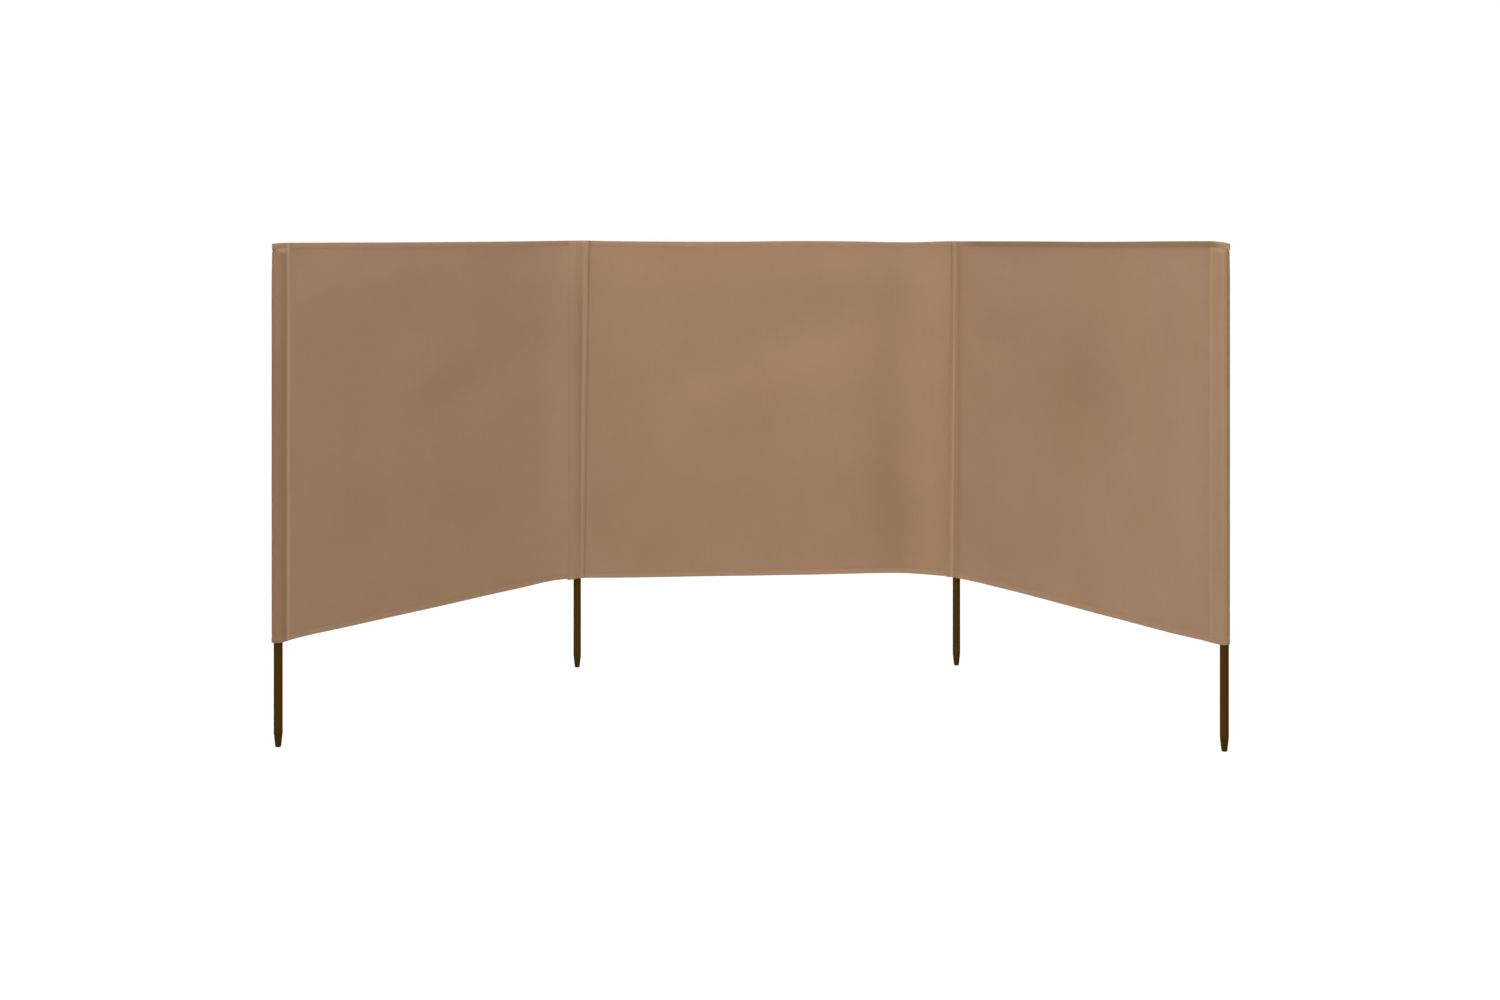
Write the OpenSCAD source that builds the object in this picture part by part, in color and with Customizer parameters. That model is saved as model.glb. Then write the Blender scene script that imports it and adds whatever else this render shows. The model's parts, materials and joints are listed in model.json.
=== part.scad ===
// Fabric windbreak: three bays of cloth on four ground poles with tapered tips.
// The middle bay stands along X and the side bays swing about its two poles.
// Origin on the end face of the left middle tip, X to the right, Y to the back, Z up. Millimetres.

/* [Bays] */
// Distance between the axes of neighbouring poles
bay_w = 1330; // [900:10:1800]
// Height of the cloth with its hems
cloth_h = 1180; // [800:10:1500]
// Thickness of one layer of cloth
cloth_t = 1.2; // [0.8:0.1:2]
// Angle of the left bay from the line of the middle bay, to the front
left_fold = 52.2; // [0:0.1:90]
// Angle of the right bay from the line of the middle bay, to the front
right_fold = 61.4; // [0:0.1:90]
// Bow of the middle bay's cloth to the back
middle_bow = 16; // [4:1:30]
// Bow of the left bay's cloth to its outside
left_bow = 20; // [4:1:30]
// Bow of the right bay's cloth to its outside
right_bow = 8; // [4:1:30]

/* [Hems] */
// Height of the top and bottom hems
hem_h = 18; // [10:1:40]
// Thickness of a folded hem
hem_t = 2.6; // [1.8:0.1:4]

/* [Poles] */
// Outside diameter of a pole
pole_d = 26; // [20:0.5:34]
// Wall of a pole's tube
pole_wall = 1.2; // [0.8:0.1:2.5]
// Length of pole and tip below the cloth
ground_len = 310; // [150:5:500]

/* [Tips] */
// Length of the taper
tip_len = 43; // [25:1:80]
// Diameter at the end of the taper
tip_end_d = 17; // [11:0.5:18]
// Radius of the rounded rim at the end
tip_round = 4; // [1:0.5:4.5]
// Length of the plug that sits in the tube
plug_len = 30; // [15:1:60]
// Gap between the plug and the tube
plug_gap = 0.1; // [0.05:0.05:0.3]

/* [Sleeves] */
// Slack between a middle pole and its sleeve
middle_slack = 2.2; // [1:0.1:6]
// Slack between an end pole and its sleeve
end_slack = 3; // [1:0.1:8]
// Distance from an end pole's axis to the edge of its sleeve's seam
end_reach = 48; // [44:1:120]
// Width of the sewn seam beside an end sleeve
seam_w = 10; // [6:0.5:20]
// Height over which a sleeve closes from round to flat under the top hem
close_h = 12; // [6:1:30]
// Drop of an end sleeve's top edge at its outer corner
corner_drop = 8; // [2:0.5:10]

/* [Swing] */
// Gap between a side bay's cloth and the middle sleeve that it turns about
swing_gap = 0.3; // [0.2:0.05:1]

/* [Hidden] */

cloth_color = [0.62, 0.49, 0.39];
hem_color = [0.66, 0.53, 0.43];
pole_color = [0.26, 0.18, 0.05];
tip_color = [0.22, 0.15, 0.05];

// A circle's facets, and a cloth arc's facets over a full turn
round_fn = 64;
cloth_arc_fn = 3600;
// Length by which a cutting solid runs past what it cuts
cut_over = 2;
// Steps of the arc at a tip's rim
rim_steps = 6;
// Depth at which a loop's straight sides run into its round end
side_tuck = 0.2;

pole_r = pole_d / 2;
middle_r = pole_r + middle_slack + cloth_t;
end_r = pole_r + end_slack + cloth_t;
// Radius of the rounded fold where two hems meet over a middle pole
fold_r = 0.75 * hem_t;

// Levels from the bottom of the cloth up
cloth_z = ground_len;
panel_z = cloth_z + hem_h;
cloth_top = cloth_z + cloth_h;
hem_z = cloth_top - hem_h;
close_z = hem_z - close_h;

// Distance along a side bay at which its cloth meets the end sleeve
seam_u = bay_w - end_reach;

// Places: along a side bay, u runs from the middle pole to the end pole and v points to the outside
module in_left_bay() {
    mirror([1, 0, 0]) rotate([0, 0, -left_fold]) children();
}

module in_right_bay() {
    translate([bay_w, 0, 0]) rotate([0, 0, -right_fold]) children();
}

module at_left_end() {
    in_left_bay() translate([bay_w, 0, 0]) children();
}

module at_right_middle() {
    translate([bay_w, 0, 0]) children();
}

module at_right_end() {
    in_right_bay() translate([bay_w, 0, 0]) children();
}

// Pole: a tube from its tip to the closed top of its sleeve
module pole() {
    color(pole_color)
        translate([0, 0, tip_len])
            difference() {
                cylinder(r = pole_r, h = close_z - tip_len, $fn = round_fn);
                translate([0, 0, -cut_over])
                    cylinder(r = pole_r - pole_wall, h = close_z - tip_len + 2 * cut_over, $fn = round_fn);
            }
}

// Tip: a taper with a rounded rim round a flat end, and a plug that sits in the tube
module tip() {
    end_radius = tip_end_d / 2;
    slope = atan((pole_r - end_radius) / tip_len);
    rim_r = end_radius - tip_round * (1 - sin(slope)) / cos(slope);
    rim = [for (i = [0:rim_steps])
        let (a = -90 + (90 - slope) * i / rim_steps)
            [rim_r + tip_round * cos(a), tip_round + tip_round * sin(a)]];
    plug_r = pole_r - pole_wall - plug_gap;
    color(tip_color)
        rotate_extrude($fn = round_fn)
            polygon(concat([[0, 0]], rim, [
                [pole_r, tip_len],
                [plug_r, tip_len],
                [plug_r, tip_len + plug_len],
                [0, tip_len + plug_len]
            ]));
}

// Solid loop of cloth round a pole: round outside, with sides that run in to a flat seam at reach
module loop_solid(r, reach, seam, seam_half, h) {
    side_r = r - side_tuck;
    apex = [-(reach - seam), seam_half];
    touch = atan2(apex.y, apex.x) - acos(side_r / norm(apex));
    side = [side_r * cos(touch), side_r * sin(touch)];
    union() {
        cylinder(r = r, h = h, $fn = round_fn);
        linear_extrude(height = h)
            polygon([
                [-reach, seam_half], apex, side,
                [side.x, -side.y], [apex.x, -apex.y], [-reach, -seam_half]
            ]);
    }
}

// Pocket inside an end sleeve, from the pole to the start of the seam
module pocket_solid(h) {
    r = end_r - cloth_t;
    side_r = r - side_tuck;
    apex_u = -(end_reach - seam_w);
    touch = 180 - acos(-side_r / apex_u);
    side = [side_r * cos(touch), side_r * sin(touch)];
    union() {
        cylinder(r = r, h = h, $fn = round_fn);
        linear_extrude(height = h)
            polygon([[apex_u, 0], side, [side.x, -side.y]]);
    }
}

module end_sleeve() {
    color(cloth_color)
        translate([0, 0, cloth_z])
            difference() {
                loop_solid(end_r, end_reach, seam_w, cloth_t, close_z - cloth_z);
                translate([0, 0, -cut_over])
                    pocket_solid(close_z - cloth_z + 2 * cut_over);
            }
}

// Closed top of an end sleeve: the loop pinched to a hem, with its outer corner drawn down
module end_sleeve_top() {
    pinch_half = end_r + cloth_t;
    height = close_h + hem_h;
    outer_u = end_r + cut_over;
    color(hem_color)
        translate([0, 0, close_z])
            intersection() {
                loop_solid(end_r, end_reach, seam_w, cloth_t, height);
                translate([-end_reach - cut_over, 0, 0])
                    rotate([90, 0, 90])
                        linear_extrude(height = end_reach + outer_u + cut_over)
                            pinch_section(pinch_half);
                translate([0, pinch_half, 0])
                    rotate([90, 0, 0])
                        linear_extrude(height = 2 * pinch_half)
                            polygon([
                                [-end_reach, -cut_over],
                                [outer_u, -cut_over],
                                [outer_u, height - corner_drop],
                                [-end_reach, height]
                            ]);
            }
}

// Cross-section of a sleeve's closed top: from round to the thickness of the hem
module pinch_section(half) {
    polygon([
        [-half, 0], [half, 0],
        [hem_t / 2, close_h], [hem_t / 2, close_h + hem_h],
        [-hem_t / 2, close_h + hem_h], [-hem_t / 2, close_h]
    ]);
}

module middle_sleeve() {
    color(cloth_color)
        translate([0, 0, cloth_z])
            difference() {
                cylinder(r = middle_r, h = close_z - cloth_z, $fn = round_fn);
                translate([0, 0, -cut_over])
                    cylinder(r = middle_r - cloth_t, h = close_z - cloth_z + 2 * cut_over, $fn = round_fn);
            }
}

// Closed top of a middle sleeve: gathered to a cone, with a flat hem towards each bay
module middle_sleeve_top(bay_angles) {
    height = close_h + hem_h;
    color(hem_color)
        translate([0, 0, close_z]) {
            cylinder(r1 = middle_r, r2 = hem_t, h = close_h, $fn = round_fn);
            intersection() {
                cylinder(r = middle_r, h = height, $fn = round_fn);
                union() {
                    cylinder(r = fold_r, h = height, $fn = round_fn);
                    for (a = bay_angles)
                        rotate([0, 0, a])
                            translate([0, -hem_t / 2, 0])
                                cube([middle_r + cut_over, hem_t, height]);
                }
            }
        }
}

// Cloth from level z0 to z1, bowed to +v over the chord and run on a little past both ends
module bowed_sheet(chord, bow, t, z0, z1) {
    r = (chord * chord / 4 + bow * bow) / (2 * bow);
    half_turn = asin((chord / 2 + cut_over) / r);
    translate([chord / 2, bow - r, z0])
        rotate([0, 0, 90 - half_turn])
            rotate_extrude(angle = 2 * half_turn, $fn = cloth_arc_fn)
                translate([r - t / 2, 0])
                    square([t, z1 - z0]);
}

// Cloth of the middle bay, cut to the two sleeves that it is sewn to
module middle_cloth(t, z0, z1) {
    difference() {
        bowed_sheet(bay_w, middle_bow, t, z0, z1);
        for (x = [0, bay_w])
            translate([x, 0, z0 - cut_over])
                cylinder(r = middle_r, h = z1 - z0 + 2 * cut_over, $fn = round_fn);
    }
}

// Cloth of a side bay, clear of the middle sleeve and cut square at the end sleeve's seam
module side_cloth(bow, t, z0, z1) {
    difference() {
        bowed_sheet(seam_u, bow, t, z0, z1);
        translate([0, 0, z0 - cut_over])
            cylinder(r = middle_r + swing_gap, h = z1 - z0 + 2 * cut_over, $fn = round_fn);
        translate([seam_u, -t * 2, z0 - cut_over])
            cube([end_reach, t * 4, z1 - z0 + 2 * cut_over]);
    }
}

module middle_panel() { color(cloth_color) middle_cloth(cloth_t, panel_z, hem_z); }
module middle_top_hem() { color(hem_color) middle_cloth(hem_t, hem_z, cloth_top); }
module middle_bottom_hem() { color(hem_color) middle_cloth(hem_t, cloth_z, panel_z); }

module side_panel(bow) { color(cloth_color) side_cloth(bow, cloth_t, panel_z, hem_z); }
module side_top_hem(bow) { color(hem_color) side_cloth(bow, hem_t, hem_z, cloth_top); }
module side_bottom_hem(bow) { color(hem_color) side_cloth(bow, hem_t, cloth_z, panel_z); }

at_left_end() pole();  // left_end_pole
pole();  // left_middle_pole
at_right_middle() pole();  // right_middle_pole
at_right_end() pole();  // right_end_pole

at_left_end() tip();  // left_end_tip
tip();  // left_middle_tip
at_right_middle() tip();  // right_middle_tip
at_right_end() tip();  // right_end_tip

at_left_end() end_sleeve();  // left_end_sleeve
middle_sleeve();  // left_middle_sleeve
at_right_middle() middle_sleeve();  // right_middle_sleeve
at_right_end() end_sleeve();  // right_end_sleeve

at_left_end() end_sleeve_top();  // left_end_sleeve_top
middle_sleeve_top([0, 180 + left_fold]);  // left_middle_sleeve_top
at_right_middle() middle_sleeve_top([180, -right_fold]);  // right_middle_sleeve_top
at_right_end() end_sleeve_top();  // right_end_sleeve_top

in_left_bay() side_panel(left_bow);  // left_panel
middle_panel();
in_right_bay() side_panel(right_bow);  // right_panel

in_left_bay() side_top_hem(left_bow);  // left_top_hem
middle_top_hem();
in_right_bay() side_top_hem(right_bow);  // right_top_hem

in_left_bay() side_bottom_hem(left_bow);  // left_bottom_hem
middle_bottom_hem();
in_right_bay() side_bottom_hem(right_bow);  // right_bottom_hem
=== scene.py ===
"""Dresses a three-bay fabric windbreak: woven cloth, hems, pole sleeves, stitching, poles and tips.

Each bay has its own axes: u runs along the cloth, v points to the outside of the windbreak and z is up.
All cloth pieces take their places from one surface per bay, so that hems, seams and stitches meet.
"""
import json
import math

import bpy
import numpy as np
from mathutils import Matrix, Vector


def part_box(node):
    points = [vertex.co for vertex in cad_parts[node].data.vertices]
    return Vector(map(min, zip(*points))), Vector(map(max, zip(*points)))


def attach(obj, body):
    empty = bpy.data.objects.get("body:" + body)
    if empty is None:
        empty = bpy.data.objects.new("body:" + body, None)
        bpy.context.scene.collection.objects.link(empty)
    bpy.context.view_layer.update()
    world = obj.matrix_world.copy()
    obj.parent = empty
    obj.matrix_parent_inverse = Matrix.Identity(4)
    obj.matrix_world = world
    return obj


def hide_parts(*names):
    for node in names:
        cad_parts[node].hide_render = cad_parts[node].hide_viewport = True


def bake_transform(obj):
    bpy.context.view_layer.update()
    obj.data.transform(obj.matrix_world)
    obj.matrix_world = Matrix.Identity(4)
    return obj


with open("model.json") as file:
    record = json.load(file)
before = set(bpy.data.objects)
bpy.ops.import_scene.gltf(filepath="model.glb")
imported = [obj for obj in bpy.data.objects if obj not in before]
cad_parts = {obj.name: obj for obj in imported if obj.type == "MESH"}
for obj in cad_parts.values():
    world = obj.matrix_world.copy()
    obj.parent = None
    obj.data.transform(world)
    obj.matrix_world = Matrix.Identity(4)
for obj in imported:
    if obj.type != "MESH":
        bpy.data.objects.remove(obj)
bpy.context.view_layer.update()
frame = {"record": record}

MM = 0.001

# Cloth, hems and seams
CLOTH_T = 0.9 * MM
HEM_STITCH = 14.5 * MM        # from the cloth's edge to the hem's stitches
HEM_TUCK = 2 * MM             # panel cloth inside a hem
LEAN_START = 120 * MM         # length over which a hem begins to lean
LEFT_WING_SEAM = 50 * MM      # from a middle pole's axis to its sleeve's seam on the wing
RIGHT_WING_SEAM = 24 * MM
LEFT_SEAM = (25 * MM, 42 * MM)    # and to its seam on the middle bay, at the bottom and at the top
RIGHT_SEAM = (31 * MM, 16 * MM)
PLEAT_W = 23 * MM             # the flat pleat beside that seam
PLEAT_RISE = 4.5 * MM         # it stands this far off the bay
PLEAT_TILT = 1.0 * MM         # and a little more on its right edge
PAINTED_LIGHT_HALF = 7 * MM            # half width of the painted light on its crease
SEAM_LIP = 3.5 * MM           # seam allowance past the stitches
SEAM_HALF = 1.0 * MM          # half of a seam's thickness
SEAM_STITCH = 1.3 * MM        # how far its stitches lie from the cloth's middle
MIDDLE_SLEEVE_R = 15.6 * MM   # slack loops round the poles
LEFT_END_R = 18.8 * MM
RIGHT_END_R = 15.8 * MM
LEFT_REACH = 34 * MM          # from an end pole's axis to its sleeve's seam
RIGHT_REACH = 43 * MM
END_PAINTED_LIGHT_AT = 9.5 * MM        # painted light line on an end sleeve, from its seam's edge
END_PAINTED_LIGHT_HALF = 6 * MM
SLEEVE_WRINKLE = 0.4 * MM
CLOSE_PLEAT = 0.7 * MM        # gathers where a sleeve closes
EASE = 90 * MM                # length over which a wing's cloth comes forward to pass a pole
HELD = 90 * MM                # length over which a seam holds the cloth straight
SWAY = 1.3 * MM               # heights of the cloth's slow waves
RIPPLE = 0.7 * MM
PUCKER = 0.5 * MM             # height of the puckers by hems and seams
HEM_PUCKER_W = 30 * MM        # how far they reach from a hem
SEAM_PUCKER_W = 12 * MM       # and how wide and far off they are at a seam
SEAM_PUCKER_AT = 16 * MM
SNUG = 1.2 * MM               # how much a sleeve tightens towards the pole's top
SNUG_RUN = 90 * MM            # over this length
SHUT_GAP = 0.15 * MM          # half of what is left open inside a closed top
SHADE_HIGH = 1380 * MM        # level up to which a pole's painted shadow on its sleeve grows fainter
SHADE_RUN = 300 * MM
SEAM_PROUD = 0.35 * MM        # a sleeve's closed top stands proud of the hems it joins

# Poles and tips
POLE_R = 13 * MM
POLE_WALL = 1.2 * MM
TIP_END_R = 8.5 * MM
TIP_ROUND = 4 * MM
PLUG_LEN = 30 * MM
PLUG_GAP = 0.1 * MM

# Stitches
STITCH_PITCH = 4.4 * MM
STITCH_LEN = 3.4 * MM
STITCH_W = 0.8 * MM
STITCH_H = 0.5 * MM

# Steps of the meshes
PANEL_STEPS, PANEL_ROWS = 230, 130
HEM_STEPS = 260
SLEEVE_STEPS = 72
STITCH_STEPS = 500

# Camera, from the photograph's vanishing lines
CAMERA_PLACE = (0.4396, -6.9115, 1.518)
CAMERA_TURN = (90, 0, -1.3665)
CAMERA_LENS = 47.34
CAMERA_SHIFT_Y = -0.1779

# Lamps: place and power. They are alike in size and point at the middle of the object.
LAMP_SIZE = 4.0
LIT = (0.57, -0.55, 0.9)
LAMPS = {
    "front": ((0.57, -5.6, 5.6), 380),
    "left": ((-3.66, -2.09, 6.26), 180),
    "overhead": ((0.57, -0.55, 7.9), 220),
    "back": ((0.57, 6.3, 2.36), 340),
    "rim": ((4.6, 3.5, 4.9), 120),
}
WORLD_LIGHT = 0.16

# Levels and pole places, from the frame
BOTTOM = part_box("middle_bottom_hem")[0].z
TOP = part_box("middle_top_hem")[1].z
HEM_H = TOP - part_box("middle_top_hem")[0].z
TUBE_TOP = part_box("left_middle_sleeve")[1].z
POLE_LOW, POLE_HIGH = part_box("left_middle_pole")[0].z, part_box("left_middle_pole")[1].z
FOOT = {m["name"].removesuffix("_tip_end"): np.array(m["pos_m"][:2]) for m in frame["record"]["mounts"]}


def smooth(t):
    """A soft step from 0 to 1."""
    t = np.clip(t, 0, 1)
    return t * t * (3 - 2 * t)


def soft_line(points, x):
    """The height at x on a smooth line through a few points."""
    xs, ys = np.array(points, float).T
    slope = np.gradient(ys, xs)
    i = np.clip(np.searchsorted(xs, x, side="right") - 1, 0, len(xs) - 2)
    w = xs[i + 1] - xs[i]
    t = np.clip((x - xs[i]) / w, 0, 1)
    rise = (2 * t**3 - 3 * t**2 + 1) * ys[i] + (3 * t**2 - 2 * t**3) * ys[i + 1]
    return rise + w * ((t**3 - 2 * t**2 + t) * slope[i] + (t**3 - t**2) * slope[i + 1])


class Bay:
    """The cloth of one bay, from seam to seam.

    poles: the two that hold it, from its start. outside: 1 or -1, the side that v points to.
    bow: how far its cloth bows to the outside.
    seams: how far its two seams are from the poles' axes, at the bottom and at the top.
    passes: how far the cloth comes forward at its two seams, to pass in front of the poles.
    folds: (start, end, half width, height) with points as (share of the length, share of the height),
    a plus height to the outside.
    patches: (centre, half sizes, strength) of painted light, or painted shade with a minus.
    dips and rises: how far the top edge hangs and the bottom edge lifts, in mm by the share of the length.
    lean: how far the top hem leans to the outside. phase sets its waves apart from the other bays'.
    """

    def __init__(self, name, body, poles, outside, bow, seams, passes,
                 folds, patches, dips, rises, lean, phase):
        self.name, self.body, self.poles = name, body, poles
        self.start = FOOT[poles[0]]
        reach = FOOT[poles[1]] - self.start
        self.length = float(np.hypot(*reach))
        self.along = reach / self.length
        self.out = outside * np.array([-self.along[1], self.along[0]])
        self.seams, self.passes = seams, passes
        self.first, self.last = np.mean(seams[0]), self.length - np.mean(seams[1])
        self.bow, self.span = bow, self.length if name == "middle" else self.last
        self.folds, self.patches = folds, patches
        self.dips, self.rises = dips, rises
        self.lean, self.phase = lean, phase

    def place(self, u, v, z):
        """Points of the frame at u, v and z."""
        u, v, z = np.broadcast_arrays(u, v, z)
        flat = self.start + u[..., None] * self.along + v[..., None] * self.out
        return np.concatenate([flat, z[..., None]], axis=-1)

    def seam(self, end, z):
        """Distance of a seam from its pole's axis at z."""
        low, high = self.seams[end]
        return low + (high - low) * (z - BOTTOM) / (TOP - BOTTOM)

    def across(self, share, z):
        """u at a share of the way from seam to seam."""
        start, end = self.seam(0, z), self.length - self.seam(1, z)
        return start + (end - start) * share

    def top(self, u):
        return TOP - MM * soft_line(self.dips, u / self.length)

    def bottom(self, u):
        return BOTTOM + MM * soft_line(self.rises, u / self.length)

    def to_seams(self, u, z):
        """Distances to the two seams."""
        return u - self.seam(0, z), self.length - self.seam(1, z) - u

    def free(self, u, z):
        """0 at the seams, which hold the cloth straight, and 1 away from them."""
        near, far = self.to_seams(u, z)
        return smooth(near / HELD) * smooth(far / HELD)

    def fold(self, u, z):
        """Soft folds, a slow sway and puckers by the hems."""
        s, h = u / self.length, (z - BOTTOM) / (TOP - BOTTOM)
        tall = (TOP - BOTTOM) / self.length
        depth = np.zeros(np.broadcast(u, z).shape)
        for (s0, h0), (s1, h1), width, height in self.folds:
            run, climb = s1 - s0, (h1 - h0) * tall
            size = math.hypot(run, climb)
            along = ((s - s0) * run + (h - h0) * tall * climb) / size**2
            across = ((s - s0) * climb - (h - h0) * tall * run) / size
            ends = smooth((along + 0.3) / 0.6) * smooth((1.3 - along) / 0.6)
            depth = depth + height * MM * np.exp(-((across / width) ** 2)) * ends
        p = self.phase
        depth = depth + SWAY * np.sin(15 * u + 2.4 * z + p) * np.sin(3.1 * z + 2 * p)
        depth = depth + RIPPLE * np.sin(27 * u - 6.3 * z + 3 * p) * np.sin(7.7 * z + p)
        edge = np.minimum(z - BOTTOM, TOP - z)
        by_hem = np.sin(340 * u + 3 * np.sin(41 * u + p)) * (0.6 + 0.4 * np.sin(63 * u + 2 * p))
        depth = depth + PUCKER * by_hem * np.exp(-((edge / HEM_PUCKER_W) ** 2))
        depth = depth * self.free(u, z)
        seam = np.minimum(*self.to_seams(u, z))
        by_seam = np.sin(300 * z + 3 * np.sin(37 * z + p)) * (0.6 + 0.4 * np.sin(51 * z + p))
        return depth + PUCKER * by_seam * np.exp(-((seam - SEAM_PUCKER_AT) / SEAM_PUCKER_W) ** 2)

    def tone(self, u, z):
        """Painted light (plus) or painted shade (minus), in soft patches."""
        s, h = u / self.length, (z - BOTTOM) / (TOP - BOTTOM)
        return sum(strength * np.exp(-((s - s0) / wide) ** 2 - ((h - h0) / tall) ** 2)
                   for (s0, h0), (wide, tall), strength in self.patches)

    def curve(self, u):
        """v of the bay's bow, eased forward at the poles."""
        s = np.clip(u / self.span, 0, 1)
        near, far = (np.exp(-np.maximum(d, 0) / EASE) for d in (u - self.first, self.last - u))
        return 4 * self.bow * s * (1 - s) - self.passes[0] * near - self.passes[1] * far

    def sheet(self, u, z):
        """v of the cloth's middle: its bow and its folds."""
        return self.curve(u) + self.fold(u, z)


LEFT = Bay(
    "left", "left_wing", ("left_middle", "left_end"), -1, 24 * MM,
    [(LEFT_WING_SEAM, LEFT_WING_SEAM), (LEFT_REACH, LEFT_REACH)], (8.3 * MM, 11 * MM),
    folds=[((0.16, 0.68), (0.55, 0.52), 0.07, 9), ((0.30, 0.36), (0.95, 0.42), 0.085, -7),
           ((0.35, 0.90), (1.00, 0.88), 0.07, -5)],
    patches=[((0.04, 0.45), (0.14, 0.7), 0.42), ((0.02, 0.96), (0.06, 0.13), 0.5),
             ((0.8, 0.45), (0.25, 0.6), -0.22)],
    dips=[(0, -2.5), (0.3, 0), (0.6, 0.8), (0.97, 0)],
    rises=[(0, 2.5), (0.08, 9), (0.2, 5), (0.45, -1), (0.7, -3), (0.97, 1)],
    lean=0, phase=0.6)
MIDDLE = Bay(
    "middle", "middle_bay", ("left_middle", "right_middle"), 1, 16 * MM, [LEFT_SEAM, RIGHT_SEAM], (0, 0),
    folds=[((0.87, -0.1), (0.86, 0.95), 0.075, 18), ((0.15, 0.55), (0.78, 0.78), 0.075, 9),
           ((0.10, 0.88), (0.80, 0.90), 0.07, -4), ((0.20, 0.22), (0.65, 0.28), 0.09, -4)],
    patches=[((0.4, 0.3), (0.4, 0.5), -0.25), ((0.83, 0.2), (0.06, 0.3), -0.3),
             ((0.3, 0.97), (0.3, 0.15), -0.3), ((0.82, 0.12), (0.2, 0.2), -0.2)],
    dips=[(0, -2.5), (0.12, 0), (0.27, 1.4), (0.42, 1.4), (0.58, -0.8), (0.74, 0.8), (0.85, 3.7),
          (0.9, 3.4), (0.95, 1), (1, -0.6)],
    rises=[(0, 2.5), (0.1, 1), (0.3, 3), (0.42, 4), (0.64, 8), (0.85, 11), (0.92, 7), (1, 0)],
    lean=0, phase=2.1)
RIGHT = Bay(
    "right", "right_wing", ("right_middle", "right_end"), 1, 8 * MM,
    [(RIGHT_WING_SEAM, RIGHT_WING_SEAM), (RIGHT_REACH, RIGHT_REACH)], (11 * MM, 14.5 * MM),
    folds=[((0.46, 0.56), (0.62, 0.57), 0.075, 6), ((0.45, 0.79), (0.64, 0.80), 0.07, -5),
           ((0.72, 0.05), (0.78, 0.95), 0.075, 7), ((0.03, 0.74), (0.25, 0.70), 0.06, 5),
           ((0.15, 0.12), (0.55, 0.28), 0.09, -4)],
    patches=[((0.48, 0.62), (0.2, 0.2), -0.45), ((0.9, 0.5), (0.1, 0.6), 0.12),
             ((0.02, 0.6), (0.016, 0.6), -0.5), ((0.25, 0.12), (0.25, 0.2), -0.25)],
    dips=[(0, 0), (0.3, -1), (0.6, -1), (0.85, -4), (0.97, -5)],
    rises=[(0, 0), (0.1, 0), (0.3, -1), (0.6, -4.5), (0.85, -3.5), (0.97, 3)],
    lean=-9 * MM, phase=4.3)
BAYS = (LEFT, MIDDLE, RIGHT)


# Mesh helpers

PAINTED_SHADE_AND_LIGHT = ("deep", "pale")      # shares of painted shade and painted light, kept on a cloth's points


def paint_shade_and_light(made, deep, pale):
    """Writes how much painted shade and painted light a piece's points have."""
    for tone, share in zip(PAINTED_SHADE_AND_LIGHT, (deep, pale)):
        layer = made.data.attributes.new(tone, "FLOAT", "POINT")
        layer.data.foreach_set("value", np.clip(share, 0, 1).astype(np.float32).ravel())


def quads(index, flip=False):
    """Four-sided faces between neighbours in a grid of vertex numbers."""
    corners = index[:-1, :-1], index[:-1, 1:], index[1:, 1:], index[1:, :-1]
    faces = np.stack(corners, axis=-1).reshape(-1, 4)
    return faces[:, ::-1] if flip else faces


def loft(rings, closed=False):
    """Faces of a skin through rings of points. Open ends are shut by joining a ring's two halves."""
    m, n = rings.shape[:2]
    index = np.arange(m * n).reshape(m, n)
    around = np.column_stack([index, index[:, 0]])
    if closed:
        return quads(np.vstack([around, around[:1]]))
    low, high = (np.stack([r[: n // 2], r[n // 2:][::-1]]) for r in (index[0], index[-1]))
    return np.concatenate([quads(around), quads(low, flip=True), quads(high)])


def piece(name, points, faces, material, uv=None, sharp=38):
    """A smooth mesh object, its faces outward. uv is in metres, so that the weave keeps its scale."""
    points = points.reshape(-1, 3)
    corner = points[faces[:, 0]]
    fan = sum(np.einsum("ij,ij->i", corner, np.cross(points[faces[:, k]], points[faces[:, k + 1]]))
              for k in range(1, faces.shape[1] - 1))
    if fan.sum() < 0:
        faces = faces[:, ::-1]
    mesh = bpy.data.meshes.new(name)
    mesh.from_pydata(points.tolist(), [], faces.tolist())
    if uv is not None:
        corners = np.empty(len(mesh.loops), np.int32)
        mesh.loops.foreach_get("vertex_index", corners)
        layer = mesh.uv_layers.new(name="weave")
        layer.data.foreach_set("uv", uv.reshape(-1, 2)[corners].astype(np.float32).ravel())
    mesh.polygons.foreach_set("use_smooth", np.ones(len(mesh.polygons), bool))
    mesh.set_sharp_from_angle(angle=math.radians(sharp))
    mesh.materials.append(material)
    made = bpy.data.objects.new(name, mesh)
    bpy.context.scene.collection.objects.link(made)
    return made


def rows_between(low, high, count):
    """Levels from low to high, closer together at both ends."""
    t = np.linspace(0, 1, count)
    return low + (high - low) * (0.55 * t + 0.225 * (1 - np.cos(math.pi * t)))


# Materials


def srgb(r, g, b):
    """A colour as seen on screen, 0 to 255, as the linear colour that nodes take."""
    c = np.array([r, g, b]) / 255
    c = np.where(c <= 0.04045, c / 12.92, ((c + 0.055) / 1.055) ** 2.4)
    return (*map(float, c), 1.0)


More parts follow.
